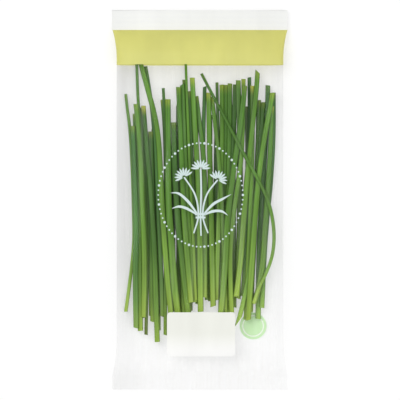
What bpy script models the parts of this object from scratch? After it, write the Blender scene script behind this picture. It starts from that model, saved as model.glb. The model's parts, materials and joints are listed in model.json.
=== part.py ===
"""A bunch of fresh chives, cut to length and sealed in a clear pillow pouch that lies on its back.

The chives are separate hollow leaves, each its own object, heaped on one another inside the pouch.
The pouch is one web of film, closed into a tube and welded flat across both ends.
+X is the pouch's width, +Y runs from the cut feet of the leaves to their tops, +Z is up.
The origin is under the middle of the pouch, on the surface that it lies on.
"""

import math
import random

import bmesh
import bpy
import numpy as np
from mathutils import Vector

MM = 0.001

# The pouch, in millimetres
POUCH_LENGTH = 280.0
BELLY_WIDTH = 122.7
END_WIDTH = 129.3
BELLY_HEIGHT = 17.6
FILM_THICKNESS = 0.6
TOP_WELD = 14.6
FOOT_WELD = 10.0
TOP_SHOULDER = 22.0
FOOT_SHOULDER = 28.0
SHOULDER_BULGE = 0.8
END_LIFT = 3.0
BACK_SQUARENESS = 4.0
FRONT_SQUARENESS = 2.8
FLAT_SPOT_DEPTH = 0.2
POUCH_SIDES = 48
SHOULDER_RINGS = 5
VENT_RADIUS = 2.5
VENT_PLACE = (26.0, 110.0)

# How the leaves lie, in millimetres
CLEARANCE = 0.3
FILM_CLEARANCE = 0.5
LEAF_ACROSS = 1.2
LEAF_UP = 0.72
LEAF_SIDES = 6
LEAF_POINTS = 16
SAMPLE_STEP = 1.0
FOOT_SHARE = 0.94
TOP_SHARE = 0.82
EASING_ROUNDS = 12

# The photo's scale, the pixel of the photo that the pouch's middle lies on, and the decimals of a
# millimetre that a place read off it is good for
MM_PER_PIXEL = 0.7366
MIDDLE_PIXEL = (200.0, 199.73)
PLACE_DECIMALS = 1

# The leaves that show from the front, as they lie in the pouch: how far forward (3 is the front),
# the green, the diameter in millimetres before the pouch pressed it oval, and the places that it
# passes from top to cut foot, read off the photo by eye as pixels.
SHOWN_LEAVES = [
    (0, "light", 2, [
        (125.5, 93.7), (127.3, 110), (129.6, 128), (131.6, 160), (133.3, 205), (133.8, 240),
        (131.9, 264), (127.9, 295), (125.6, 312)
    ]),
    (2, "blue", 3.2, [
        (132.6, 126), (133.6, 150), (134.8, 185), (136, 235), (135.5, 275), (136, 328)
    ]),
    (1, "mid", 3.1, [(134.6, 113.5), (137.4, 165), (139.4, 215), (139.4, 275), (140.4, 331)]),
    (2, "light", 3.1, [
        (135.6, 104), (138.4, 128), (140.6, 160), (142.2, 200), (144, 245), (144.4, 280),
        (143.6, 317)
    ]),
    (1, "mid", 1.9, [
        (136.3, 58), (137.9, 100), (140.3, 130), (143.6, 180), (146.2, 235), (146.8, 280),
        (146, 335)
    ]),
    (0, "dark", 2.4, [(140.2, 107.5), (143.4, 145), (147, 200), (149.9, 265), (150.7, 316)]),
    (1, "dark", 3.1, [(143.2, 105.7), (147, 150), (151.2, 200), (154.6, 260), (157.2, 342)]),
    (0, "mid", 2.7, [
        (150.4, 98), (153, 120), (156.3, 160), (157.2, 200), (157.6, 250), (158.5, 331)
    ]),
    (0, "dark", 3.7, [(150.7, 131.5), (151.6, 180), (152.4, 240), (153.2, 322)]),
    (2, "light", 3.3, [
        (139.1, 58), (148.4, 92), (153.6, 111), (157.2, 130), (159.3, 150), (160.7, 180),
        (162.2, 210), (165.5, 255), (171.5, 320.6)
    ]),
    (1, "blue", 2.7, [
        (145.2, 66), (149.6, 93), (154.8, 130), (157, 170), (158.4, 215), (160.6, 265),
        (162.4, 316)
    ]),
    (1, "dark", 2, [(163.2, 88), (164.6, 120), (165.8, 200), (165.6, 255), (165.2, 335)]),
    (0, "mid", 3.5, [
        (162.9, 99.3), (165.2, 130), (166.3, 165), (166.2, 230), (166.6, 275), (164.8, 300),
        (161.6, 316.5)
    ]),
    (2, "mid", 4, [
        (167.8, 99.3), (168.2, 150), (168.7, 205), (171.4, 243), (174.8, 288), (178.6, 320.6)
    ]),
    (2, "dark", 3.7, [
        (173.7, 122.5), (174.7, 170), (178, 223), (181.2, 252), (184.4, 281), (189.2, 320.6)
    ]),
    (0, "dark", 3.2, [(178.3, 105.5), (179.2, 180), (181.5, 235), (183.8, 318)]),
    (2, "mid", 3.3, [(178.4, 87), (181.6, 160), (184.4, 220), (191.2, 302.2)]),
    (1, "mid", 3.2, [(182.2, 84.3), (185.8, 170), (189.4, 235), (195.2, 302.2)]),
    (0, "dark", 3.1, [(184.5, 79.5), (188.6, 165), (192.5, 240), (198, 304.3)]),
    (2, "light", 1.7, [(185.6, 58), (187, 100), (190.4, 180), (193.4, 240), (195.9, 300)]),
    (0, "dark", 2.6, [(189.4, 91), (192.2, 175), (195.5, 235), (200, 298.2)]),
    (2, "light", 3.5, [
        (192.3, 77.5), (194.6, 122), (196.6, 155), (198.9, 200), (200, 250), (200.7, 311.7)
    ]),
    (1, "mid", 3.1, [
        (196.2, 96), (199.4, 122), (202.8, 150), (204.8, 185), (205, 240), (204.8, 297.5)
    ]),
    (0, "blue", 2.5, [
        (204.7, 86.3), (204.2, 105), (203.4, 140), (204.6, 180), (207.2, 225), (206.8, 300.2)
    ]),
    (2, "light", 3.3, [(208.6, 92.5), (209.6, 150), (211, 205), (213.2, 306.3)]),
    (1, "dark", 1.9, [(217, 82), (217.6, 110), (219.3, 180), (220.6, 240), (221.3, 300)]),
    (1, "light", 2.9, [(221.7, 84.5), (221.8, 140), (219.5, 200), (217.3, 270), (216.6, 300)]),
    (0, "mid", 3.2, [(225.9, 84.6), (225.8, 140), (224.9, 200), (222.6, 265), (220.4, 318.5)]),
    (0, "mid", 3.2, [(230, 83.2), (229.4, 140), (228.4, 200), (227.6, 270), (227.2, 320.6)]),
    (0, "dark", 3, [(235.2, 84.3), (233.6, 145), (231.9, 200), (229.2, 300.2)]),
    (0, "mid", 3.4, [(238.3, 80.2), (239.8, 145), (240, 200), (238, 298.8)]),
    (2, "mid", 3.6, [
        (244.6, 86), (242.8, 106), (239.4, 132), (235.4, 156), (232.6, 177), (229.4, 200),
        (227, 225), (225.4, 258), (222.6, 298), (219.7, 320.6)
    ]),
    (1, "light", 2.9, [
        (243.5, 79), (243.5, 100), (241.9, 145), (239.8, 170), (234.4, 207), (231.6, 231),
        (230.2, 255), (230.6, 285), (231.8, 312)
    ]),
    (1, "blue", 2.5, [(249.6, 77), (249.6, 190), (246.6, 240), (242.8, 296)]),
    (1, "light", 3.1, [(252.4, 85.5), (252.3, 140), (251, 200), (246.2, 319.9)]),
    (2, "light", 3.3, [
        (257.7, 71.5), (256.2, 92), (253.2, 119), (250.5, 146), (246.8, 181), (243.4, 222),
        (240.8, 257), (236.3, 296.3)
    ]),
    (0, "mid", 2.5, [(246.9, 106), (247.6, 180), (247.4, 230), (246.2, 305.6)]),
    (0, "mid", 3.1, [(259, 99.8), (257.8, 150), (255.8, 205), (250.6, 312.4)]),
    (2, "light", 3.3, [
        (272.4, 93), (270.4, 106), (266.6, 125), (262.4, 150), (258.8, 177), (256.4, 202),
        (251.6, 265), (248.2, 319.9)
    ]),
    (1, "dark", 2.8, [
        (263.4, 102), (261.3, 135), (257, 198), (253.6, 238), (249.6, 272), (243.6, 301),
        (238.3, 322)
    ]),
    (0, "blue", 3.3, [
        (268, 85), (267.6, 108), (265.6, 140), (262, 200), (259.6, 250), (258.2, 319.2)
    ]),
    (1, "mid", 3.2, [
        (271.9, 106), (270.3, 150), (267.4, 195), (265.1, 225), (262.4, 264), (258.4, 289),
        (253.6, 303.6)
    ]),
    (0, "blue", 3.1, [
        (273.7, 92.3), (273.5, 132), (270.7, 181), (266.8, 220), (264.1, 260), (262.1, 308)
    ]),
    (1, "light", 2.7, [
        (211.9, 96.5), (213.4, 109), (216, 132), (218.7, 160), (221.8, 205), (223.6, 240),
        (224.6, 275), (225.2, 314)
    ]),
    (3, "mid", 1.9, [
        (201.5, 73.5), (210, 90), (224.7, 118), (238, 143.5), (251.5, 168.3), (262.7, 188.7),
        (268.5, 203), (272.5, 218.5), (274, 235), (273.3, 250), (270.5, 262), (266, 273.5),
        (258.5, 288.5), (253.3, 303.5)
    ]),
]

# The leaves behind them, which leave the same gaps: where each one crosses the pouch's middle
HIDDEN_PLACES = [
    -45.4, -41.8, -33.8, -24.4, -20.1, -15.8, -11.5, -7.2, -2.8, 7.4, 11.7, 16, 20.3, 24.6
]
HIDDEN_DIAMETER = (2.9, 3.3)
HIDDEN_TOP = (50.0, 74.0)
HIDDEN_FOOT = (-88.0, -70.0)
HIDDEN_LEAN = 0.6
SEED = 7

LEAF_COLORS = {
    "mid": (0.105, 0.235, 0.040),
    "dark": (0.060, 0.160, 0.035),
    "blue": (0.080, 0.200, 0.070),
    "light": (0.190, 0.330, 0.055),
}
FILM_COLOR = (0.86, 0.89, 0.90)
FILM_ALPHA = 0.22


def smooth_path(places):
    """x at each sample of y, on a smooth curve through the places, with the samples from foot to top."""
    xs = [p[0] for p in reversed(places)]
    ys = [p[1] for p in reversed(places)]
    slopes = []
    for i in range(len(ys)):
        low, high = max(i - 1, 0), min(i + 1, len(ys) - 1)
        slopes.append((xs[high] - xs[low]) / (ys[high] - ys[low]))
    count = max(2, round((ys[-1] - ys[0]) / SAMPLE_STEP) + 1)
    samples = np.linspace(ys[0], ys[-1], count)
    x = np.empty(count)
    for n, y in enumerate(samples):
        i = min(max(int(np.searchsorted(ys, y)) - 1, 0), len(ys) - 2)
        span = ys[i + 1] - ys[i]
        t = (y - ys[i]) / span
        x[n] = (
            (2 * t**3 - 3 * t**2 + 1) * xs[i]
            + (t**3 - 2 * t**2 + t) * span * slopes[i]
            + (3 * t**2 - 2 * t**3) * xs[i + 1]
            + (t**3 - t**2) * span * slopes[i + 1]
        )
    return x, samples


def leaf_radius(diameter, share):
    """A chive leaf is thickest a third of the way up, and slims towards its top."""
    low = FOOT_SHARE + (1 - FOOT_SHARE) * np.sin(np.clip(share / 0.35, 0, 1) * math.pi / 2)
    slim = (1 - TOP_SHARE) * np.clip((share - 0.35) / 0.65, 0, 1) ** 1.4
    return diameter / 2 * (low - slim)


def pouch_swell(y):
    """How far the pouch has filled out at y: 0 at the welds and 1 along the belly."""
    from_top = (POUCH_LENGTH / 2 - TOP_WELD - y) / TOP_SHOULDER
    from_foot = (y + POUCH_LENGTH / 2 - FOOT_WELD) / FOOT_SHOULDER
    share = np.clip(np.minimum(from_top, from_foot), 0, 1)
    return np.sin(share * math.pi / 2) ** SHOULDER_BULGE


def pouch_section(y, inset):
    """Half width, middle height and half height of the pouch at y, that far inside its skin."""
    swell = pouch_swell(y)
    half_width = (END_WIDTH - (END_WIDTH - BELLY_WIDTH) * swell) / 2
    height = 2 * FILM_THICKNESS + (BELLY_HEIGHT - 2 * FILM_THICKNESS) * swell
    middle = END_LIFT * (1 - swell) + height / 2
    return half_width - inset, middle, height / 2 - inset


def squared(share, squareness):
    """Height of a superellipse of radius 1 at that share of its half width."""
    return (1 - np.clip(np.abs(share), 0, 1) ** squareness) ** (1 / squareness)


def inside_floor(x, y):
    half_width, middle, half_height = pouch_section(y, FILM_THICKNESS)
    return middle - half_height * squared(x / half_width, BACK_SQUARENESS)


def inside_ceiling(x, y):
    half_width, middle, half_height = pouch_section(y, FILM_THICKNESS)
    return middle + half_height * squared(x / half_width, FRONT_SQUARENESS)


def hidden_leaves():
    """The back leaves, nearly straight, with a little seeded unevenness."""
    draw = random.Random(SEED)
    leaves = []
    for x in HIDDEN_PLACES:
        top = (x + draw.uniform(-HIDDEN_LEAN, HIDDEN_LEAN), draw.uniform(*HIDDEN_TOP))
        foot = (x + draw.uniform(-HIDDEN_LEAN, HIDDEN_LEAN), draw.uniform(*HIDDEN_FOOT))
        leaves.append((-1, "dark", draw.uniform(*HIDDEN_DIAMETER), [top, (x, 0), foot]))
    return leaves


def shown_leaves():
    """The front leaves, with the photo's pixels turned into millimetres from the pouch's middle."""
    leaves = []
    for layer, green, diameter, pixels in SHOWN_LEAVES:
        places = []
        for across, down in pixels:
            x = (across - MIDDLE_PIXEL[0]) * MM_PER_PIXEL
            y = (MIDDLE_PIXEL[1] - down) * MM_PER_PIXEL
            places.append((round(x, PLACE_DECIMALS), round(y, PLACE_DECIMALS)))
        leaves.append((layer, green, diameter, places))
    return leaves


def lowest_heights(x, y, radius, heap):
    """The height of each sample's centre at which the leaf clears the film and the leaves below.

    Two oval leaves touch as two round ones do whose distance in plan shrinks by the same ratio.
    """
    need = inside_floor(x, y) + radius * LEAF_UP + FILM_CLEARANCE
    for leaf in heap:
        reach = (radius[:, None] + leaf[:, 3]) * LEAF_UP + CLEARANCE
        plan = np.hypot(x[:, None] - leaf[:, 0], y[:, None] - leaf[:, 1]) * LEAF_UP / LEAF_ACROSS
        over = leaf[:, 2] + np.sqrt(np.clip(reach**2 - plan**2, 0, None))
        need = np.maximum(need, np.where(plan < reach, over, 0).max(axis=1))
    return need


def eased_heights(need, samples, knots):
    """Heights at the knots whose straight spans stay at or above need, with as little bend as that lets."""
    spans = [(samples >= low - 1e-9) & (samples <= high + 1e-9) for low, high in zip(knots, knots[1:])]
    peaks = [need[span].max() for span in spans]
    heights = np.array([max(pair) for pair in zip(peaks[:1] + peaks, peaks + peaks[-1:])])
    for _ in range(EASING_ROUNDS):
        heights[1:-1] = heights[:-2] / 4 + heights[1:-1] / 2 + heights[2:] / 4
        for _ in range(3):
            for n, span in enumerate(spans):
                lack = (need - np.interp(samples, knots, heights))[span].max()
                heights[n : n + 2] += max(lack, 0)
    return heights


def heaped_leaves():
    """Each leaf's green and its rows of x, y, z and radius from foot to top, heaped from back to front."""
    heap = []
    leaves = []
    for _, green, diameter, places in sorted(hidden_leaves() + shown_leaves(), key=lambda leaf: leaf[0]):
        x, y = smooth_path(places)
        knots = np.linspace(y[0], y[-1], LEAF_POINTS)
        x = np.interp(y, knots, np.interp(knots, y, x))
        radius = leaf_radius(diameter, (y - y[0]) / (y[-1] - y[0]))
        heights = eased_heights(lowest_heights(x, y, radius, heap), y, knots)
        heap.append(np.column_stack([x, y, np.interp(y, knots, heights), radius]))
        leaves.append((green, [[np.interp(k, y, column) for column in heap[-1].T] for k in knots]))
    return leaves


def principled(name, color, roughness, alpha=1.0):
    material = bpy.data.materials.new(name)
    material.use_nodes = True
    shader = material.node_tree.nodes["Principled BSDF"]
    shader.inputs["Base Color"].default_value = (*color, 1.0)
    shader.inputs["Roughness"].default_value = roughness
    shader.inputs["Metallic"].default_value = 0.0
    shader.inputs["Alpha"].default_value = alpha
    material.diffuse_color = (*color, alpha)
    return material


def mesh_object(name, bm, collection):
    mesh = bpy.data.meshes.new(name)
    bm.to_mesh(mesh)
    bm.free()
    obj = bpy.data.objects.new(name, mesh)
    collection.objects.link(obj)
    return obj


def pouch_rings(inset):
    """y of each ring of the pouch from foot to top, closer together where it swells from the welds."""
    low = -POUCH_LENGTH / 2 + FOOT_WELD
    high = POUCH_LENGTH / 2 - TOP_WELD
    steps = [(n / SHOULDER_RINGS) ** 1.5 for n in range(SHOULDER_RINGS + 1)]
    foot = [low + FOOT_SHOULDER * step for step in steps]
    top = [high - TOP_SHOULDER * step for step in reversed(steps)]
    if inset == 0:
        return [-POUCH_LENGTH / 2, *foot, *top, POUCH_LENGTH / 2]
    return [low + (foot[1] - low) / 2, *foot[1:], *top[:-1], high - (high - top[-2]) / 2]


def pouch_form(name, inset, collection):
    """A closed pillow form, that far inside the pouch's skin: a tube of rings, each shaped to its y."""
    rings = pouch_rings(inset)
    bm = bmesh.new()
    bmesh.ops.create_cone(
        bm, cap_ends=True, cap_tris=False, segments=POUCH_SIDES, radius1=1, radius2=1, depth=2
    )
    long_edges = [e for e in bm.edges if abs(e.verts[0].co.z - e.verts[1].co.z) > 1]
    bmesh.ops.subdivide_edges(bm, edges=long_edges, cuts=len(rings) - 2, use_grid_fill=True)
    for vert in bm.verts:
        y = rings[round((vert.co.z + 1) / 2 * (len(rings) - 1))]
        half_width, middle, half_height = pouch_section(y, inset)
        across, up = vert.co.x, -vert.co.y
        squareness = FRONT_SQUARENESS if up > 0 else BACK_SQUARENESS
        x = half_width * math.copysign(abs(across) ** (2 / squareness), across)
        z = middle + half_height * math.copysign(abs(up) ** (2 / squareness), up)
        if inset == 0:
            z = 0.0 if z < FLAT_SPOT_DEPTH else z
        vert.co = Vector((x, y, z)) * MM
    bmesh.ops.recalc_face_normals(bm, faces=bm.faces)
    return mesh_object(name, bm, collection)


def cut(obj, cutter):
    cutter.hide_render = True
    cutter.display_type = "WIRE"
    modifier = obj.modifiers.new(cutter.name, "BOOLEAN")
    modifier.operation = "DIFFERENCE"
    modifier.object = cutter


for old in list(bpy.data.objects):
    bpy.data.objects.remove(old, do_unlink=True)
bunch = bpy.data.collections.new("chive_bunch")
cutters = bpy.data.collections.new("cutters")
bpy.context.scene.collection.children.link(bunch)
bpy.context.scene.collection.children.link(cutters)

# The pouch: a thin skin round a pillow form, with a round vent in its back that lets the leaves breathe
film = pouch_form("pouch_film", 0, bunch)
film.data.materials.append(principled("clear_film", FILM_COLOR, 0.12, FILM_ALPHA))
film.data.shade_smooth()
film.data.set_sharp_from_angle(angle=math.radians(40))
cut(film, pouch_form("pouch_inside", FILM_THICKNESS, cutters))
vent = bmesh.new()
bmesh.ops.create_cone(
    vent, cap_ends=True, segments=20, radius1=VENT_RADIUS * MM, radius2=VENT_RADIUS * MM, depth=10 * MM
)
vent_cutter = mesh_object("vent_cutter", vent, cutters)
vent_cutter.location = (VENT_PLACE[0] * MM, VENT_PLACE[1] * MM, 0)
cut(film, vent_cutter)

# The oval section of a leaf, for a radius of one millimetre
section = bpy.data.curves.new("leaf_section", "CURVE")
section.dimensions = "2D"
oval = section.splines.new("POLY")
oval.points.add(LEAF_SIDES - 1)
oval.use_cyclic_u = True
for n, point in enumerate(oval.points):
    turn = -2 * math.pi * n / LEAF_SIDES
    point.co = (LEAF_ACROSS * math.cos(turn) * MM, LEAF_UP * math.sin(turn) * MM, 0, 1)
section_guide = bpy.data.objects.new("leaf_section", section)
section_guide.hide_render = True
section_guide.display_type = "WIRE"
cutters.objects.link(section_guide)

# The leaves: the section runs along each leaf's own line, and each point scales it to the radius there
greens = {key: principled(f"leaf_{key}_green", color, 0.45) for key, color in LEAF_COLORS.items()}
for n, (green, points) in enumerate(heaped_leaves()):
    curve = bpy.data.curves.new(f"leaf_{n + 1:02d}", "CURVE")
    curve.dimensions = "3D"
    curve.twist_mode = "Z_UP"
    curve.bevel_mode = "OBJECT"
    curve.bevel_object = section_guide
    curve.use_fill_caps = True
    spline = curve.splines.new("POLY")
    spline.points.add(len(points) - 1)
    for point, (x, y, z, radius) in zip(spline.points, points):
        point.co = (x * MM, y * MM, z * MM, 1)
        point.radius = radius
    curve.materials.append(greens[green])
    bunch.objects.link(bpy.data.objects.new(curve.name, curve))
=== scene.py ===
import json
import math
import random

import bmesh
import bpy
import numpy as np
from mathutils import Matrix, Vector, noise


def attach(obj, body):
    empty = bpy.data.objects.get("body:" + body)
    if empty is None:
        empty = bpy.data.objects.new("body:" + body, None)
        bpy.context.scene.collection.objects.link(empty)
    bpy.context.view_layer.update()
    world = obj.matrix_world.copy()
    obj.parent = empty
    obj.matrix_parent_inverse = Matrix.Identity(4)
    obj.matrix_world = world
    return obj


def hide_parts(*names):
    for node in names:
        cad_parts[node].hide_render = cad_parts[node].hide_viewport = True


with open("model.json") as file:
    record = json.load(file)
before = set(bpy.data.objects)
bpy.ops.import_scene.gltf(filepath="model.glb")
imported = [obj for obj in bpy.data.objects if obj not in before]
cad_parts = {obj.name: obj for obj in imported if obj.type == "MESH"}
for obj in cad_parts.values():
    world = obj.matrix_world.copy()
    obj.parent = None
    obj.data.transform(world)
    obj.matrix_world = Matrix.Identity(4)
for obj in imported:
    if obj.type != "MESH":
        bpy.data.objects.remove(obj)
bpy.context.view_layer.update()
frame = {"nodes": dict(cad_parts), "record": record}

# The view
# The pouch lies on its back on a white table, seen from straight above, between
# two big soft boxes, one up and to the left and one down and to the right, in a white room.
MM = 0.001
CAMERA_PLACE = (0, -0.0002, 1.645)
LENS = 200.0
SENSOR = 36.0
SOFT_BOX_SIZE = 1.2
WALL_LIGHT = 0.5
TABLE_LIGHT = 0.5
TABLE_SIZE = 8
TABLE_DROP = 0.0004  # how far the table's top lies under the pouch


def linear(hex_color):
    """An sRGB colour written as hex, as the linear colour that a shader takes."""
    shares = [int(hex_color[i : i + 2], 16) / 255 for i in (1, 3, 5)]
    rgb = [c / 12.92 if c <= 0.04045 else ((c + 0.055) / 1.055) ** 2.4 for c in shares]
    return (*rgb, 1.0)


def new_material(name):
    """An empty node material with its output, and its tree."""
    material = bpy.data.materials.new(name)
    material.use_nodes = True
    tree = material.node_tree
    tree.nodes.clear()
    return material, tree


def add_node(tree, kind, settings=None, values=None, links=None):
    """Adds a node, with its settings, its sockets' plain values, and what feeds its sockets."""
    node = tree.nodes.new(kind)
    for name, value in (settings or {}).items():
        setattr(node, name, value)
    for socket, value in (values or {}).items():
        node.inputs[socket].default_value = value
    for socket, source in (links or {}).items():
        tree.links.new(source, node.inputs[socket])
    return node


scene = bpy.context.scene
scene.view_settings.view_transform = "Standard"
scene.view_settings.look = "None"

camera = bpy.data.objects.new("camera", bpy.data.cameras.new("camera"))
camera.location = CAMERA_PLACE
camera.data.lens = LENS
camera.data.sensor_width = SENSOR
scene.collection.objects.link(camera)
scene.camera = camera

world = bpy.data.worlds.new("white_room")
world.use_nodes = True
world.node_tree.nodes["Background"].inputs["Color"].default_value = linear("#ffffff")
world.node_tree.nodes["Background"].inputs["Strength"].default_value = WALL_LIGHT
scene.world = world

for name, energy, place in (
    ("soft_box_left", 10.5, (-0.6, 0.5, 1.4)),
    ("soft_box_right", 6.5, (0.65, -0.4, 1.4)),
):
    soft_box = bpy.data.objects.new(name, bpy.data.lights.new(name, "AREA"))
    soft_box.data.shape = "DISK"
    soft_box.data.size = SOFT_BOX_SIZE
    soft_box.data.energy = energy
    soft_box.location = place
    soft_box.rotation_euler = (-soft_box.location).to_track_quat("-Z", "Y").to_euler()
    scene.collection.objects.link(soft_box)

# Opal acrylic, lit from below: smooth and white, so that even the shade under the pouch stays pale
table_top, tree = new_material("lit_opal_acrylic_table")
shader = add_node(
    tree,
    "ShaderNodeBsdfPrincipled",
    values={
        "Base Color": linear("#bcbcbc"),
        "Roughness": 0.6,
        "Specular IOR Level": 0.2,
        "Emission Color": linear("#ffffff"),
        "Emission Strength": TABLE_LIGHT,
    },
)
add_node(tree, "ShaderNodeOutputMaterial", links={"Surface": shader.outputs[0]})
bpy.ops.object.select_all(action="DESELECT")
bpy.ops.mesh.primitive_plane_add(size=TABLE_SIZE, location=(0, 0, -TABLE_DROP))
table = bpy.context.object
table.name = "table"
table.data.materials.append(table_top)

# The leaves
# Fifty-nine cut chive leaves, each a thin-walled green tube pressed a little oval, sliced off about
# square at both ends. One tube is modelled, and each leaf is a copy of it bent along its own line,
# its hollow ends left open.
LEAF_SIDES = 20
LEAF_RINGS = 56
BORE_SHARE = 0.035  # how far the hollow shows into a cut end, as a share of the leaf
WALL_SHARE = 0.2  # the wall, as a share of the leaf's radius
SKIN_FROM = 0.97  # faces whose middles lie further out than this are skin, and the others flesh
BORE_WITHIN = 0.9  # corners nearer the middle than this belong to the hollow or its rim

bpy.ops.object.select_all(action="DESELECT")
bpy.ops.mesh.primitive_cylinder_add(
    vertices=LEAF_SIDES, radius=1, depth=1, end_fill_type="NGON", location=(0, 0, 0.5)
)
master = bpy.context.object
bpy.ops.object.transform_apply(location=True)
bpy.ops.object.mode_set(mode="EDIT")
bpy.ops.mesh.select_all(action="DESELECT")
mesh_in_hand = bmesh.from_edit_mesh(master.data)
for edge in mesh_in_hand.edges:
    edge.select = abs(edge.verts[0].co.z - edge.verts[1].co.z) > 0.5
bpy.ops.mesh.subdivide(number_cuts=LEAF_RINGS - 1)
for end, push in ((1, -BORE_SHARE), (0, BORE_SHARE)):
    bpy.ops.mesh.select_mode(type="FACE")
    bpy.ops.mesh.select_all(action="DESELECT")
    mesh_in_hand = bmesh.from_edit_mesh(master.data)
    for face in mesh_in_hand.faces:
        centre = face.calc_center_median()
        face.select = abs(centre.z - end) < 1e-4 and centre.xy.length < 1e-3
    bpy.ops.mesh.inset(thickness=WALL_SHARE)
    bpy.ops.mesh.extrude_region_move(TRANSFORM_OT_translate={"value": (0, 0, push)})
mesh_in_hand = bmesh.from_edit_mesh(master.data)
for face in mesh_in_hand.faces:
    centre = face.calc_center_median()
    face.material_index = 0 if centre.xy.length > SKIN_FROM else 1
bpy.ops.mesh.select_all(action="SELECT")
bpy.ops.mesh.normals_make_consistent(inside=False)
bpy.ops.object.mode_set(mode="OBJECT")
bpy.ops.object.shade_smooth_by_angle(angle=math.radians(40))


def wrap_marks(mesh):
    """Marks a leaf's own UV map: u once round it, and v along it from foot to top."""
    marks = mesh.uv_layers[0].data
    for face in mesh.polygons:
        middle = math.atan2(face.center.y, face.center.x) / (2 * math.pi)
        for loop in face.loop_indices:
            spot = mesh.vertices[mesh.loops[loop].vertex_index].co
            around = math.atan2(spot.y, spot.x) / (2 * math.pi)
            around += round(middle - around)
            marks[loop].uv = (around + 0.5, spot.z)


wrap_marks(master.data)


RING_GAP = 0.004  # rings of one leaf are further apart than this along it
CAD_SIDES = 6  # corners of a CAD leaf's ring, the highest at 60 degrees
FULLNESS = 0.00014  # added to the CAD leaf's half width and half height
FLATNESS = 2.5  # 2 is an oval section, and more a squarer one
SLANT_RINGS = 5  # how many rings of the tube give way to a slanted cut
UNEVEN_STEPS = 12  # places along a leaf where its width and height vary by these shares
SWELL = (-0.03, 0.03)
PRESS = (-0.05, 0.02)
LOOK_AHEAD = 0.004  # how far along a leaf its direction is read, as a share of it


def leaf_line(node):
    """The leaf's rings in the CAD, from foot to top: centre, half width and half height of each."""
    points = sorted({tuple(round(c, 7) for c in v.co) for v in node.data.vertices}, key=lambda p: p[1])
    rings = [[points[0]]]
    for point, last in zip(points[1:], points):
        if point[1] - last[1] > RING_GAP:
            rings.append([])
        rings[-1].append(point)
    whole = [i for i, ring in enumerate(rings) if len(ring) == CAD_SIDES]
    corners = np.array([rings[i] for i in whole])
    centres = corners.mean(axis=1)
    spread = corners - centres[:, None]
    half_width = np.hypot(spread[:, :, 0], spread[:, :, 1]).max(axis=1)
    half_height = np.abs(spread[:, :, 2]).max(axis=1) / math.sin(2 * math.pi / CAD_SIDES)
    known = np.column_stack([centres, half_width, half_height])
    streak_noise = np.column_stack([np.interp(range(len(rings)), whole, column) for column in known.T])
    return streak_noise[:, :3], streak_noise[:, 3], streak_noise[:, 4]


def eased(values, share):
    """Values given at even steps, read at each share of the way by a smooth curve through them."""
    values = np.asarray(values)
    place = share * (len(values) - 1)
    i = np.clip(place.astype(int), 0, len(values) - 2)
    t = place - i
    if values.ndim > 1:
        t = t[:, None]
    before, here = values[np.maximum(i - 1, 0)], values[i]
    there, after = values[i + 1], values[np.minimum(i + 2, len(values) - 1)]
    return (
        here
        + t * (there - before) / 2
        + t**2 * (before - 2.5 * here + 2 * there - after / 2)
        + t**3 * (1.5 * (here - there) + (after - before) / 2)
    )


def bend_along(mesh, node, slants, draw):
    """Carries a copy of the tube to its CAD leaf's line, a hair fuller, so that neighbours nearly touch."""
    co = np.empty(len(mesh.vertices) * 3)
    mesh.vertices.foreach_get("co", co)
    co = co.reshape(-1, 3)
    share = co[:, 2]
    centres, half_width, half_height = leaf_line(node)
    centre = eased(centres, share)
    ahead = eased(centres, np.clip(share + LOOK_AHEAD, 0, 1))
    ahead -= eased(centres, np.clip(share - LOOK_AHEAD, 0, 1))
    ahead /= np.linalg.norm(ahead, axis=1)[:, None]
    across = np.cross(ahead, (0, 0, 1))
    across /= np.linalg.norm(across, axis=1)[:, None]
    up = np.cross(across, ahead)
    swell = [draw.uniform(*SWELL) for _ in range(UNEVEN_STEPS)]
    press = [draw.uniform(*PRESS) for _ in range(UNEVEN_STEPS)]
    wide = (eased(half_width, share) + FULLNESS) * (1 + eased(swell, share))
    tall = (eased(half_height, share) + FULLNESS) * (1 + eased(press, share))
    outward = np.hypot(co[:, 0], co[:, 1])
    flat = (np.abs(co[:, :2]) ** FLATNESS).sum(axis=1) ** (-1 / FLATNESS) * outward
    side, rise = co[:, 0] * flat * wide, co[:, 1] * flat * tall
    foot, top = slants
    slip = np.where(share > 0.5, top, foot) * side
    near_end = np.clip(1 - np.minimum(share, 1 - share) * LEAF_RINGS / SLANT_RINGS, 0, 1)
    bore = (outward < BORE_WITHIN) & (np.minimum(share, 1 - share) > 0.001)
    near_end = np.where(bore, 1.0, near_end)
    placed = centre + across * side[:, None] + up * rise[:, None] + ahead * (slip * near_end)[:, None]
    mesh.vertices.foreach_set("co", placed.ravel())
    mesh.update()


# Chive skin: a smooth waxy cuticle over lengthwise ribs. The wax gives a soft broad gloss, and the
# ribs, drawn coarser than real ones are, streak the green: partly the skin's own streaks, and partly
# painted shade, darker in the grooves between the ribs than on their ridges.
RIBS_AROUND = 20


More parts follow.
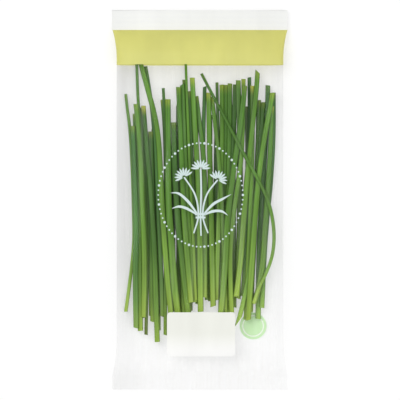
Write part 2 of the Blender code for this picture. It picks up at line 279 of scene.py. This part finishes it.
def waxy_chive_skin(name, foot, low, middle, high):
    """A leaf's skin, from the green of its foot to that of its top, streaked, with painted shade along its
    sides, and dried at its top.
    """
    material, tree = new_material(name)
    wrap = add_node(tree, "ShaderNodeUVMap")
    split = add_node(tree, "ShaderNodeSeparateXYZ", links={0: wrap.outputs[0]})
    along = add_node(tree, "ShaderNodeValToRGB", links={0: split.outputs["Y"]})
    ramp = along.color_ramp
    stops = [(0.0, foot), (0.14, low), (0.42, middle), (0.8, high), (1.0, high)]
    while len(ramp.elements) < len(stops):
        ramp.elements.new(0.5)
    for element, (place, color) in zip(ramp.elements, stops):
        element.position = place
        element.color = linear(color)
    place = add_node(tree, "ShaderNodeTexCoord")
    drift = add_node(
        tree,
        "ShaderNodeMapping",
        values={"Scale": (120, 22, 120)},
        links={0: place.outputs["Object"]},
    )
    patches = add_node(
        tree, "ShaderNodeTexNoise", values={"Scale": 1.0, "Detail": 3.0}, links={"Vector": drift.outputs[0]}
    )
    ribs_map = add_node(
        tree, "ShaderNodeMapping", values={"Scale": (RIBS_AROUND, 1.3, 1)}, links={0: wrap.outputs[0]}
    )
    ribs = add_node(
        tree,
        "ShaderNodeTexNoise",
        values={"Scale": 1.0, "Detail": 2.0},
        links={"Vector": ribs_map.outputs[0]},
    )
    patch_light = add_node(
        tree,
        "ShaderNodeMapRange",
        values={"From Min": 0.3, "From Max": 0.7, "To Min": 0.8, "To Max": 1.16},
        links={"Value": patches.outputs[0]},
    )
    # Partly painted shade: the same noise that raises the ribs lightens their ridges and darkens their
    # grooves
    rib_tone_and_shade = add_node(
        tree,
        "ShaderNodeMapRange",
        values={"From Min": 0.3, "From Max": 0.7, "To Min": 0.62, "To Max": 1.26},
        links={"Value": ribs.outputs[0]},
    )
    own = add_node(tree, "ShaderNodeAttribute", {"attribute_name": "shade"})
    light = add_node(
        tree,
        "ShaderNodeMath",
        {"operation": "MULTIPLY"},
        links={0: patch_light.outputs[0], 1: rib_tone_and_shade.outputs[0]},
    )
    light = add_node(
        tree, "ShaderNodeMath", {"operation": "MULTIPLY"}, links={0: light.outputs[0], 1: own.outputs["Fac"]}
    )
    # Painted shade: each leaf darkens towards its two sides, so that dark lines show between neighbouring
    # leaves
    turned = add_node(
        tree,
        "ShaderNodeMath",
        {"operation": "MULTIPLY"},
        values={1: 2 * math.pi},
        links={0: split.outputs["X"]},
    )
    aside = add_node(tree, "ShaderNodeMath", {"operation": "COSINE"}, links={0: turned.outputs[0]})
    sideways_share = add_node(tree, "ShaderNodeMath", {"operation": "ABSOLUTE"}, links={0: aside.outputs[0]})
    painted_side_shade = add_node(
        tree,
        "ShaderNodeMapRange",
        {"interpolation_type": "SMOOTHSTEP"},
        values={"From Min": 0.5, "From Max": 1.0, "To Min": 0.99, "To Max": 0.6},
        links={"Value": sideways_share.outputs[0]},
    )
    light = add_node(
        tree, "ShaderNodeMath", {"operation": "MULTIPLY"}, links={0: light.outputs[0], 1: painted_side_shade.outputs[0]}
    )
    tip = add_node(
        tree,
        "ShaderNodeMapRange",
        {"interpolation_type": "SMOOTHSTEP"},
        values={"From Min": 0.95, "From Max": 0.99},
        links={"Value": split.outputs["Y"]},
    )
    dried = add_node(tree, "ShaderNodeAttribute", {"attribute_name": "dried"})
    drying = add_node(
        tree, "ShaderNodeMath", {"operation": "MULTIPLY"}, links={0: tip.outputs[0], 1: dried.outputs["Fac"]}
    )
    skin = add_node(
        tree,
        "ShaderNodeMix",
        {"data_type": "RGBA"},
        values={7: linear("#acb43e")},
        links={0: drying.outputs[0], 6: along.outputs[0]},
    )
    green = add_node(
        tree,
        "ShaderNodeVectorMath",
        {"operation": "SCALE"},
        links={"Vector": skin.outputs[2], "Scale": light.outputs[0]},
    )
    bump = add_node(
        tree,
        "ShaderNodeBump",
        values={"Strength": 0.35, "Distance": 0.00012},
        links={"Height": ribs.outputs[0]},
    )
    shader = add_node(
        tree,
        "ShaderNodeBsdfPrincipled",
        values={"Roughness": 0.46, "Specular IOR Level": 0.28, "IOR": 1.45},
        links={"Base Color": green.outputs[0], "Normal": bump.outputs[0]},
    )
    add_node(tree, "ShaderNodeOutputMaterial", links={"Surface": shader.outputs[0]})
    return material


# Chive flesh where the knife went through: pale and matt
cut_flesh, tree = new_material("cut_chive_flesh")
shader = add_node(
    tree, "ShaderNodeBsdfPrincipled", values={"Base Color": linear("#7f9a45"), "Roughness": 0.55}
)
add_node(tree, "ShaderNodeOutputMaterial", links={"Surface": shader.outputs[0]})

LEAF_GREENS = {
    "leaf_mid_green": waxy_chive_skin(
        "waxy_chive_skin_mid", "#a3c04c", "#80aa46", "#5f8f2e", "#52842a"
    ),
    "leaf_dark_green": waxy_chive_skin(
        "waxy_chive_skin_dark", "#94b448", "#749c40", "#507f2c", "#447228"
    ),
    "leaf_blue_green": waxy_chive_skin(
        "waxy_chive_skin_blue", "#8cb04c", "#6c9a48", "#52843c", "#487a38"
    ),
    "leaf_light_green": waxy_chive_skin(
        "waxy_chive_skin_light", "#a2c04c", "#8cb448", "#6b9a34", "#5e8f2e"
    ),
}
SLOTS = {row["node"]: row["material_slot"] for row in frame["record"]["subparts"]}

# The leaves that show, one by one: how light it is at foot and top, and how far its cut top has dried
LEAF_LOOKS = {
    15: (1.05, 1.05, 0.1), 16: (1.1, 0.85, 0.1), 17: (0.8, 0.9, 0.5), 18: (0.85, 0.85, 0.3),
    19: (0.85, 0.95, 0.4), 20: (0.85, 0.95, 0.1), 21: (0.9, 1, 0.2), 22: (0.85, 0.85, 0.3),
    23: (0.9, 0.9, 0), 24: (0.9, 1, 0.4), 25: (0.9, 1, 0.3), 26: (0.75, 0.95, 0.1),
    27: (0.95, 0.95, 0.2), 28: (0.9, 1, 0.2), 29: (0.85, 0.95, 0.3), 30: (1.2, 0.9, 0.1),
    31: (1.1, 0.9, 0.3), 32: (0.9, 1, 0.3), 33: (0.3, 1.25, 0), 34: (1.1, 0.9, 1),
    35: (0.9, 1, 0.1), 36: (0.8, 0.95, 0), 37: (1, 1, 0), 38: (0.85, 1, 0.3),
    39: (0.8, 1, 0.1), 40: (1, 0.95, 0.5), 41: (0.9, 1.05, 0.5), 42: (0.9, 0.9, 0),
    43: (0.95, 1.1, 1), 44: (1.45, 0.95, 0.2), 45: (0.95, 1.05, 0.6), 46: (0.9, 1, 0.4),
    47: (1, 1.1, 0.3), 48: (0.85, 1.1, 0.2), 49: (1, 1.05, 0.2), 50: (0.95, 1.1, 0.4),
    51: (0.85, 0.95, 0.2), 52: (0.95, 1.1, 0.2), 53: (0.95, 1.1, 0.2), 54: (0.95, 1.1, 0.5),
    # Leaf 58 grows much lighter towards its top: a painted highlight, for a glossy streak along it
    55: (0.9, 1.05, 0.6), 56: (0.95, 1.1, 0.2), 57: (1.15, 1.05, 0.3), 58: (0.9, 1.2, 0.3),
    59: (1.1, 0.8, 0.1),
}
FOOT_LIFT = 0.05  # how much lighter the feet of all of them are than the table says
# Cuts that aren't square: how far the cut climbs to the right for each unit across, at foot and top
LEAF_CUTS = {44: (2.6, 0.1), 57: (0.2, -0.8), 23: (0.1, 0.4), 37: (0.1, 0.5), 42: (0.3, 0.2)}
UNSQUARE_FOOT = 0.3  # the steepest cut of the other leaves at their feet, and at their tops
UNSQUARE_TOP = 0.12
# The leaves behind have looks drawn at random: the same three as above, each between two limits. Their
# lightness stays below that of most leaves in front: painted shade, for leaves lying under the others.
BEHIND_FOOT_SHADED = (0.7, 0.85)
BEHIND_TOP_SHADED = (0.75, 0.95)
BEHIND_DRIED = (0, 0.4)
LEAVES = 59
SEED = 11
draw = random.Random(SEED)

for number in range(1, LEAVES + 1):
    node_name = f"leaf_{number:02d}"
    bpy.ops.object.select_all(action="DESELECT")
    master.select_set(True)
    bpy.context.view_layer.objects.active = master
    bpy.ops.object.duplicate()
    leaf = bpy.context.object
    leaf.name = f"chive_leaf_{number:02d}"
    leaf.data.name = leaf.name
    way = [vertex.co.z for vertex in leaf.data.vertices]
    chance = (draw.uniform(-UNSQUARE_FOOT, UNSQUARE_FOOT), draw.uniform(-UNSQUARE_TOP, UNSQUARE_TOP))
    slants = LEAF_CUTS.get(number, chance)
    bend_along(leaf.data, frame["nodes"][node_name], slants, draw)
    leaf.data.materials.clear()
    leaf.data.materials.append(LEAF_GREENS[SLOTS[node_name]])
    leaf.data.materials.append(cut_flesh)
    behind = (draw.uniform(*BEHIND_FOOT_SHADED), draw.uniform(*BEHIND_TOP_SHADED), draw.uniform(*BEHIND_DRIED))
    at_foot, at_top, dried_top = LEAF_LOOKS.get(number, behind)
    if number in LEAF_LOOKS:
        at_foot += FOOT_LIFT
    for name, values in (("shade", (at_foot, at_top)), ("dried", (dried_top, dried_top))):
        mark = leaf.data.attributes.new(name, "FLOAT", "POINT")
        mark.data.foreach_set("value", np.interp(way, (0, 1), values))
    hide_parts(node_name)
    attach(leaf, "root")
bpy.data.objects.remove(master, do_unlink=True)

# The pouch
# A clear pillow pouch of stretched polypropylene film, forty microns thick: a tube, seamed down its
# back and welded across its head and foot by ribbed jaws, puckered where it swells from the welds.
POUCH_LENGTH = 280.0
BELLY_WIDTH = 122.7
END_WIDTH = 129.3
BELLY_HEIGHT = 17.6
WELD_HEIGHT = 1.2
HEAD_WELD = 14.6
FOOT_WELD = 10.0
HEAD_SHOULDER = 22.0
FOOT_SHOULDER = 28.0
SHOULDER_BULGE = 0.8
FRONT_SQUARENESS = 2.8
BACK_SQUARENESS = 4.0
END_LIFT = 3.0
BACK_LIFT = 0.3
FILM_SIDES = 200
FILM_RINGS = 250
RIB_PITCH = 1.4
RIB_DEPTH = 0.12
HEAD_PUCKER = 1.5
FOOT_PUCKER = 0.7
PUCKER_SIZE = (6, 55)  # a pucker's width and length
DRAPE = 0.55
DRAPE_SIZE = (9, 70)
CREASE = 0.16
CREASE_SIZE = (3.2, 34)
FRONT_SAG = 0.35
WELD_CLOSING = 0.35  # how far each sheet moves to meet the other in a weld
LAP_HALF = 3.6  # half the width of the lap seal down the middle of the back
LAP_EDGE = 4.1  # where the step down to the lap begins
LAP_DROP = 0.2
VENT_PLACE = (26.0, 110.0)
VENT_RADIUS = 2.5


def swell_at(y):
    """How far the pouch has filled out at y: 0 at the welds and 1 along the belly."""
    from_head = (POUCH_LENGTH / 2 - HEAD_WELD - y) / HEAD_SHOULDER
    from_foot = (y + POUCH_LENGTH / 2 - FOOT_WELD) / FOOT_SHOULDER
    return math.sin(min(max(min(from_head, from_foot), 0), 1) * math.pi / 2) ** SHOULDER_BULGE


def film_point(turn, y):
    """A point of the film in mm: turn runs 0 to 1 across the front from right to left, 1 to 2 back."""
    swell = swell_at(y)
    half_width = (END_WIDTH - (END_WIDTH - BELLY_WIDTH) * swell) / 2
    height = WELD_HEIGHT + (BELLY_HEIGHT - WELD_HEIGHT) * swell
    middle = END_LIFT * (1 - swell) + height / 2
    front = turn < 1
    share = math.sin(math.pi * (0.5 - (turn if front else 2 - turn)))
    power = FRONT_SQUARENESS if front else BACK_SQUARENESS
    round_off = (1 - min(abs(share), 1) ** power) ** (1 / power)
    x = share * half_width
    z = middle + (1 if front else -1) * (height / 2) * round_off
    side = 0.0 if front else 40.0  # the back's wrinkles are drawn from another part of the noise
    pulled = HEAD_PUCKER if y > 0 else FOOT_PUCKER
    pucker = noise.noise(Vector((x / PUCKER_SIZE[0], y / PUCKER_SIZE[1], 3 + side)))
    pucker *= pulled * swell * (1 - swell) * 4
    drape = noise.noise(Vector((x / DRAPE_SIZE[0], y / DRAPE_SIZE[1], 7 + side))) * DRAPE
    crease = noise.noise(Vector((x / CREASE_SIZE[0], y / CREASE_SIZE[1], 11 + side))) * CREASE
    open_share = min(swell * 3, 1) * round_off
    z += (pucker + drape + crease) * open_share - (FRONT_SAG * open_share if front else 0)
    if swell == 0:
        z += RIB_DEPTH * math.sin(2 * math.pi * y / RIB_PITCH)
        z += -WELD_CLOSING if front else WELD_CLOSING
    lap = 0 if front else min(max((LAP_EDGE - abs(x)) / (LAP_EDGE - LAP_HALF), 0), 1)
    return Vector((x, y, max(z, BACK_LIFT) - LAP_DROP * lap)) * MM


bpy.ops.object.select_all(action="DESELECT")
bpy.ops.mesh.primitive_cylinder_add(
    vertices=FILM_SIDES, radius=1, depth=1, end_fill_type="NGON", location=(0, 0, 0.5)
)
film = bpy.context.object
film.name = "pouch_film_sheet"
bpy.ops.object.transform_apply(location=True)
bpy.ops.object.mode_set(mode="EDIT")
bpy.ops.mesh.select_all(action="DESELECT")
mesh_in_hand = bmesh.from_edit_mesh(film.data)
for edge in mesh_in_hand.edges:
    edge.select = abs(edge.verts[0].co.z - edge.verts[1].co.z) > 0.5
bpy.ops.mesh.subdivide(number_cuts=FILM_RINGS - 1)
bpy.ops.object.mode_set(mode="OBJECT")

# Rings lie close together in the ribbed welds, and further apart along the belly
FOOT_RINGS = 43
HEAD_RINGS = 63
BAND_RINGS = 18
BAND_EDGE = 97.8  # where the printed lime band ends below
BACK_BAND_RISE = 3.0  # how much higher it ends on the back
foot_end = -POUCH_LENGTH / 2 + FOOT_WELD
head_end = POUCH_LENGTH / 2 - HEAD_WELD
ring_places = np.concatenate(
    [
        np.linspace(-POUCH_LENGTH / 2, foot_end, FOOT_RINGS)[:-1],
        np.linspace(foot_end, BAND_EDGE, FILM_RINGS + 2 - FOOT_RINGS - HEAD_RINGS - BAND_RINGS + 1),
        np.linspace(BAND_EDGE, head_end, BAND_RINGS + 1)[1:],
        np.linspace(head_end, POUCH_LENGTH / 2, HEAD_RINGS)[1:],
    ]
)
for vertex in film.data.vertices:
    turn = (math.atan2(vertex.co.y, vertex.co.x) / math.pi) % 2
    y = ring_places[round(vertex.co.z * FILM_RINGS)]
    columns_off = round((turn - 1.5) * FILM_SIDES / 2)
    if abs(columns_off) in (2, 3):
        edge = LAP_HALF if abs(columns_off) == 2 else LAP_EDGE
        half_width = (END_WIDTH - (END_WIDTH - BELLY_WIDTH) * swell_at(y)) / 2
        turn = 1.5 + math.copysign(math.asin(edge / half_width) / math.pi, columns_off)
    vertex.co = film_point(turn, y)
bpy.ops.object.mode_set(mode="EDIT")
bpy.ops.mesh.select_all(action="SELECT")
bpy.ops.mesh.normals_make_consistent(inside=False)

# The vent: a round hole punched through the back
bpy.ops.mesh.select_mode(type="FACE")
bpy.ops.mesh.select_all(action="DESELECT")
vent = Vector(VENT_PLACE) * MM
mesh_in_hand = bmesh.from_edit_mesh(film.data)
for face in mesh_in_hand.faces:
    off = (face.calc_center_median().xy - vent).length
    face.select = face.normal.z < 0 and off < VENT_RADIUS * MM
bpy.ops.mesh.delete(type="FACE")
mesh_in_hand = bmesh.from_edit_mesh(film.data)
for vertex in mesh_in_hand.verts:
    if vertex.is_boundary:
        rim = vent + (vertex.co.xy - vent).normalized() * VENT_RADIUS * MM
        vertex.co.xy = rim
bmesh.update_edit_mesh(film.data)
bpy.ops.object.mode_set(mode="OBJECT")
bpy.ops.object.shade_smooth_by_angle(angle=math.radians(50))

# Polypropylene film, cast and stretched: clear and glossy. A dark grey is mixed into it as painted
# shade, the shade that lies under the pouch: most on the back sheet, towards the head and at the left
# side, less at the foot. It mirrors more at a slant. Pale streaks along its length are painted
# reflections of its wrinkles, and partly haze.
clear_film, tree = new_material("stretched_polypropylene_film")
place = add_node(tree, "ShaderNodeTexCoord")
stretch = add_node(
    tree, "ShaderNodeMapping", values={"Scale": (90, 9, 90)}, links={0: place.outputs["Object"]}
)
haze = add_node(
    tree, "ShaderNodeTexNoise", values={"Scale": 1.0, "Detail": 3.0}, links={"Vector": stretch.outputs[0]}
)
uneven = add_node(
    tree,
    "ShaderNodeMapRange",
    values={"From Min": 0.3, "From Max": 0.7, "To Min": 0.85, "To Max": 1.15},
    links={"Value": haze.outputs[0]},
)
# Painted shade: a dark grey share mixed into the clear film, strongest on the back sheet, towards the head
# and at the left, weakest at the foot
split = add_node(tree, "ShaderNodeSeparateXYZ", links={0: place.outputs["Object"]})
painted_shade = add_node(
    tree,
    "ShaderNodeMapRange",
    {"interpolation_type": "SMOOTHSTEP"},
    values={"From Min": -0.118, "From Max": -0.04, "To Min": 0.014, "To Max": 0.05},
    links={"Value": split.outputs["Y"]},
)
sideways = add_node(
    tree,
    "ShaderNodeMapRange",
    values={"From Min": -0.056, "From Max": -0.04, "To Min": 2.1, "To Max": 1.0},
    links={"Value": split.outputs["X"]},
)
painted_shade = add_node(
    tree, "ShaderNodeMath", {"operation": "MULTIPLY"}, links={0: painted_shade.outputs[0], 1: sideways.outputs[0]}
)
sheets = add_node(
    tree,
    "ShaderNodeMapRange",
    values={"From Min": 0.002, "From Max": 0.012, "To Min": 1.7, "To Max": 0.4},
    links={"Value": split.outputs["Z"]},
)
painted_shade = add_node(
    tree, "ShaderNodeMath", {"operation": "MULTIPLY"}, links={0: painted_shade.outputs[0], 1: sheets.outputs[0]}
)
headwards = add_node(
    tree,
    "ShaderNodeMapRange",
    values={"From Min": 0.08, "From Max": 0.105, "To Min": 1.0, "To Max": 1.6},
    links={"Value": split.outputs["Y"]},
)
painted_shade = add_node(
    tree, "ShaderNodeMath", {"operation": "MULTIPLY"}, links={0: painted_shade.outputs[0], 1: headwards.outputs[0]}
)
painted_shade_share = add_node(
    tree, "ShaderNodeMath", {"operation": "MULTIPLY"}, links={0: uneven.outputs[0], 1: painted_shade.outputs[0]}
)
through = add_node(tree, "ShaderNodeBsdfTransparent")
shade_grey_film = add_node(
    tree,
    "ShaderNodeBsdfPrincipled",
    values={"Base Color": linear("#60625e"), "Roughness": 0.3, "Specular IOR Level": 0.3},
)
sheet = add_node(
    tree,
    "ShaderNodeMixShader",
    links={0: painted_shade_share.outputs[0], 1: through.outputs[0], 2: shade_grey_film.outputs[0]},
)
slant = add_node(tree, "ShaderNodeLayerWeight", values={"Blend": 0.5})
glance = add_node(
    tree, "ShaderNodeMath", {"operation": "POWER"}, values={1: 4.0}, links={0: slant.outputs["Facing"]}
)
mirror = add_node(
    tree,
    "ShaderNodeMath",
    {"operation": "MULTIPLY_ADD", "use_clamp": True},
    values={1: 0.6, 2: 0.008},
    links={0: glance.outputs[0]},
)
# Painted reflection, partly haze: pale streaks along the film stand for the lamps mirrored in its lengthwise
# wrinkles
streak_stretch = add_node(
    tree, "ShaderNodeMapping", values={"Scale": (330, 13, 330)}, links={0: place.outputs["Object"]}
)
streak_noise = add_node(
    tree, "ShaderNodeTexNoise", values={"Scale": 1.0, "Detail": 2.0}, links={"Vector": streak_stretch.outputs[0]}
)
painted_streak_share = add_node(
    tree,
    "ShaderNodeMapRange",
    {"interpolation_type": "SMOOTHSTEP"},
    values={"From Min": 0.45, "From Max": 0.75, "To Min": 0.0, "To Max": 0.04},
    links={"Value": streak_noise.outputs[0]},
)
painted_streak_white = add_node(tree, "ShaderNodeBsdfDiffuse", values={"Color": linear("#fafcf8")})
sheet = add_node(
    tree, "ShaderNodeMixShader", links={0: painted_streak_share.outputs[0], 1: sheet.outputs[0], 2: painted_streak_white.outputs[0]}
)
gloss = add_node(tree, "ShaderNodeBsdfGlossy", values={"Color": linear("#f4f4f4"), "Roughness": 0.08})
mixed = add_node(
    tree,
    "ShaderNodeMixShader",
    links={0: mirror.outputs[0], 1: sheet.outputs[0], 2: gloss.outputs[0]},
)
add_node(tree, "ShaderNodeOutputMaterial", links={"Surface": mixed.outputs[0]})
film.data.materials.append(clear_film)


# Gravure ink on the film: even, with the film's own gloss over it. White across the head weld, and a
# lime band from there down over the shoulder, thin enough to glow, both right round the pouch.
def gravure_ink(name, color, faded=None, fade=(0, 0), thin=0.0):
    """An ink that fades to a second colour between two places along Y; thin is the share that glows."""
    material, tree = new_material(name)
    place = add_node(tree, "ShaderNodeTexCoord")
    stretch = add_node(
        tree, "ShaderNodeMapping", values={"Scale": (60, 14, 60)}, links={0: place.outputs["Object"]}
    )
    lay = add_node(
        tree,
        "ShaderNodeTexNoise",
        values={"Scale": 1.0, "Detail": 2.0},
        links={"Vector": stretch.outputs[0]},
    )
    even = add_node(
        tree,
        "ShaderNodeMapRange",
        values={"From Min": 0.3, "From Max": 0.7, "To Min": 0.97, "To Max": 1.03},
        links={"Value": lay.outputs[0]},
    )
    split = add_node(tree, "ShaderNodeSeparateXYZ", links={0: place.outputs["Object"]})
    gone = add_node(
        tree,
        "ShaderNodeMapRange",
        {"interpolation_type": "SMOOTHSTEP"},
        values={"From Min": fade[0], "From Max": fade[1]},
        links={"Value": split.outputs["Y"]},
    )
    tint = add_node(
        tree,
        "ShaderNodeMix",
        {"data_type": "RGBA"},
        values={6: linear(color), 7: linear(faded or color)},
        links={0: gone.outputs[0]},
    )
    ink = add_node(
        tree,
        "ShaderNodeVectorMath",
        {"operation": "SCALE"},
        links={0: tint.outputs[2], "Scale": even.outputs[0]},
    )
    shader = add_node(
        tree,
        "ShaderNodeBsdfPrincipled",
        values={"Roughness": 0.4, "Specular IOR Level": 0.25},
        links={"Base Color": ink.outputs[0]},
    )
    glow = add_node(tree, "ShaderNodeBsdfTranslucent", links={"Color": ink.outputs[0]})
    film_and_ink = add_node(
        tree, "ShaderNodeMixShader", values={0: thin}, links={1: shader.outputs[0], 2: glow.outputs[0]}
    )
    add_node(tree, "ShaderNodeOutputMaterial", links={"Surface": film_and_ink.outputs[0]})
    return material


film.data.materials.append(gravure_ink("gravure_ink_white", "#f0f1ef"))
film.data.materials.append(gravure_ink("gravure_ink_lime", "#ebe992", thin=0.4))
for face in film.data.polygons:
    y = face.center.y / MM
    if y > head_end:
        face.material_index = 1
    elif y > BAND_EDGE + (0 if face.normal.z > 0 else BACK_BAND_RISE):
        face.material_index = 2
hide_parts("pouch_film")
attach(film, "root")


INK_PROUD = 0.06  # how far ink laid on the film stands off it


def on_film(x, y, front=True, proud=INK_PROUD):
    """The point of the film at that place in mm, on its front or its back, a hair proud of it."""
    swell = swell_at(y)
    half_width = (END_WIDTH - (END_WIDTH - BELLY_WIDTH) * swell) / 2
    turn = 0.5 - math.asin(max(-1, min(1, x / half_width))) / math.pi
    spot = film_point(turn if front else 2 - turn, y)
    return spot + Vector((0, 0, proud * MM))


def lay_on_film(piece, front=True, proud=INK_PROUD):
    """Drops a flat piece drawn in mm onto the film."""
    for vertex in piece.data.vertices:
        vertex.co = on_film(vertex.co.x, vertex.co.y, front, proud)
    piece.data.update()
    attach(piece, "root")


# The blank panel
# A cream panel printed on the front of the film at its foot, left blank: a rectangle with rounded
# corners, of opaque ink that turns white towards its bottom, partly a fade in the print and partly
# painted light that lifts the shade where the film slopes down to the foot.
PANEL_LOW = (-24.2, -115.0)
PANEL_HIGH = (25.7, -82.5)
PANEL_CORNER = 2.6
PANEL_STEPS = (60, 44)
# Where the cream turns white: partly painted light, lifting the shade where the film slopes to the foot
PANEL_FADE_AND_PAINTED_LIGHT = (-96 * MM, -114 * MM)

bpy.ops.object.select_all(action="DESELECT")
bpy.ops.mesh.primitive_grid_add(x_subdivisions=PANEL_STEPS[0], y_subdivisions=PANEL_STEPS[1], size=1)
panel = bpy.context.object
panel.name = "printed_panel"
panel_middle = (Vector(PANEL_LOW) + Vector(PANEL_HIGH)) / 2
panel_half = (Vector(PANEL_HIGH) - Vector(PANEL_LOW)) / 2
for vertex in panel.data.vertices:
    spot = Vector((vertex.co.x * 2 * panel_half.x, vertex.co.y * 2 * panel_half.y))
    beyond = Vector(
        (
            max(abs(spot.x) - (panel_half.x - PANEL_CORNER), 0),
            max(abs(spot.y) - (panel_half.y - PANEL_CORNER), 0),
        )
    )
    if beyond.length > PANEL_CORNER:
        beyond *= PANEL_CORNER / beyond.length
        spot.x = math.copysign(panel_half.x - PANEL_CORNER + beyond.x, spot.x)
        spot.y = math.copysign(panel_half.y - PANEL_CORNER + beyond.y, spot.y)
    vertex.co = (*(spot + panel_middle), 0)
lay_on_film(panel)
panel.data.materials.append(
    gravure_ink("gravure_ink_cream", "#ecede5", faded="#fefefc", fade=PANEL_FADE_AND_PAINTED_LIGHT)
)

# The pale green spot
# A round spot of pale green ink printed on the back of the film, seen through the pouch behind the
# feet of the leaves.
SPOT_PLACE = (39.3, -93.4)
SPOT_RADIUS = 9.9
SPOT_SIDES = 64
SPOT_CUTS = 9  # cuts across the spot, so that it follows the film

bpy.ops.object.select_all(action="DESELECT")
bpy.ops.mesh.primitive_circle_add(
    vertices=SPOT_SIDES, radius=SPOT_RADIUS, fill_type="TRIFAN", location=(*SPOT_PLACE, 0)
)
spot = bpy.context.object
spot.name = "printed_spot"
bpy.ops.object.transform_apply(location=True)
bpy.ops.object.mode_set(mode="EDIT")
bpy.ops.mesh.select_all(action="SELECT")
bpy.ops.mesh.subdivide(number_cuts=SPOT_CUTS)
bpy.ops.object.mode_set(mode="OBJECT")
lay_on_film(spot, front=False)
spot.data.materials.append(gravure_ink("gravure_ink_pale_green", "#cdf0bc"))

# The emblem
# A print of pale blue-white ink on the front of the film: a sprig of three chives in flower, tied, in
# an oval ring of dots.
EMBLEM_PLACE = (0.4, 3.5)
EMBLEM_PROUD = 0.1
RING_HALF = (31.0, 38.0)
RING_DOTS = 68
DOT_RADIUS = 0.62
DOT_SIDES = 10
BIG_DOT = 1.5  # every fourth dot is this much bigger
STALK_WIDTHS = (1.0, 1.2, 1.2, 1.1)
BLADE_WIDTHS = (0.9, 2.0, 1.7, 0.1)
TIE_WIDTHS = (1.4, 1.6, 1.6, 1.4)
PETALS = 9
PETAL_REACHES = (1.3, 3.0, 5.2, 7.2)
PETAL_WIDTHS = (0.3, 1.1, 1.5, 0.1)
PETAL_FAN = math.radians(84)  # how far the outermost petals lean from the stalk's line


def brush_stroke(path, widths, steps):
    """A flat strip in mm through the places of the path, as wide along it as the widths say."""
    bpy.ops.mesh.primitive_grid_add(x_subdivisions=2, y_subdivisions=steps, size=1)
    strip = bpy.context.object
    for vertex in strip.data.vertices:
        share = vertex.co.y + 0.5
        near = eased(path, np.clip([share - 0.01, share, share + 0.01], 0, 1))
        ahead = near[2] - near[0]
        aside = Vector((ahead[1], -ahead[0])).normalized() * vertex.co.x
        width = np.interp(share, np.linspace(0, 1, len(widths)), widths)
        vertex.co = (near[1][0] + aside.x * width, near[1][1] + aside.y * width, 0)
    return strip


bpy.ops.object.select_all(action="DESELECT")
strokes = []
for n in range(RING_DOTS):
    turn = 2 * math.pi * n / RING_DOTS
    bpy.ops.mesh.primitive_circle_add(
        vertices=DOT_SIDES,
        radius=DOT_RADIUS * (BIG_DOT if n % 4 == 0 else 1),
        fill_type="TRIFAN",
        location=(RING_HALF[0] * math.cos(turn), RING_HALF[1] * math.sin(turn), 0),
    )
    bpy.ops.object.transform_apply(location=True)
    strokes.append(bpy.context.object)
for stalk, head_lean in (
    ([(-5, -28), (-1.6, -15), (-4, 0), (-12, 13)], math.radians(28)),
    ([(0.4, -30), (0, -15), (0.4, 4), (0, 19)], 0),
    ([(5.5, -28), (1.6, -15), (4.5, 0), (12.5, 11)], math.radians(-30)),
):
    strokes.append(brush_stroke(stalk, STALK_WIDTHS, 40))
    head = Vector(stalk[-1])
    for n in range(PETALS):
        lean = head_lean + PETAL_FAN * (2 * n / (PETALS - 1) - 1)
        out = Vector((-math.sin(lean), math.cos(lean)))
        ends = [head + out * reach for reach in PETAL_REACHES]
        strokes.append(brush_stroke(ends, PETAL_WIDTHS, 8))
for blade in (
    [(-1.6, -15), (-9, -5), (-16, 1), (-22, 1.5)],
    [(1.6, -15), (9, -7), (16, -3), (22.5, 0.5)],
    [(-1.6, -15), (-10, -10), (-16, -8.5), (-21, -10)],
    [(1.6, -15), (9, -12), (15.5, -12), (20, -15)],
):
    strokes.append(brush_stroke(blade, BLADE_WIDTHS, 30))
for tie in (
    [(-4, -14.2), (-1.5, -14), (1.5, -14), (4, -14.2)],
    [(-3.6, -16.6), (-1.5, -16.4), (1.5, -16.4), (3.6, -16.6)],
):
    strokes.append(brush_stroke(tie, TIE_WIDTHS, 8))
bpy.ops.object.select_all(action="DESELECT")
for stroke in strokes:
    stroke.select_set(True)
bpy.context.view_layer.objects.active = strokes[0]
bpy.ops.object.join()
emblem = bpy.context.object
emblem.name = "printed_emblem"
for vertex in emblem.data.vertices:
    vertex.co.xy += Vector(EMBLEM_PLACE)
lay_on_film(emblem, proud=EMBLEM_PROUD)
emblem.data.materials.append(gravure_ink("gravure_ink_pale_blue", "#d2e3e2"))

# A paler ring inside the green spot
SPOT_RING_RADIUS = 7.6
SPOT_RING_WIDTH = 0.7
SPOT_RING_PROUD = 0.12
spot_ring = brush_stroke(
    [
        (
            SPOT_PLACE[0] + SPOT_RING_RADIUS * math.sin(turn),
            SPOT_PLACE[1] + SPOT_RING_RADIUS * math.cos(turn),
        )
        for turn in np.linspace(0, 2 * math.pi, SPOT_SIDES // 2 + 1)
    ],
    (SPOT_RING_WIDTH, SPOT_RING_WIDTH),
    SPOT_SIDES,
)
spot_ring.name = "printed_spot_ring"
lay_on_film(spot_ring, front=False, proud=SPOT_RING_PROUD)
spot_ring.data.materials.append(gravure_ink("gravure_ink_paler_green", "#fafff6"))
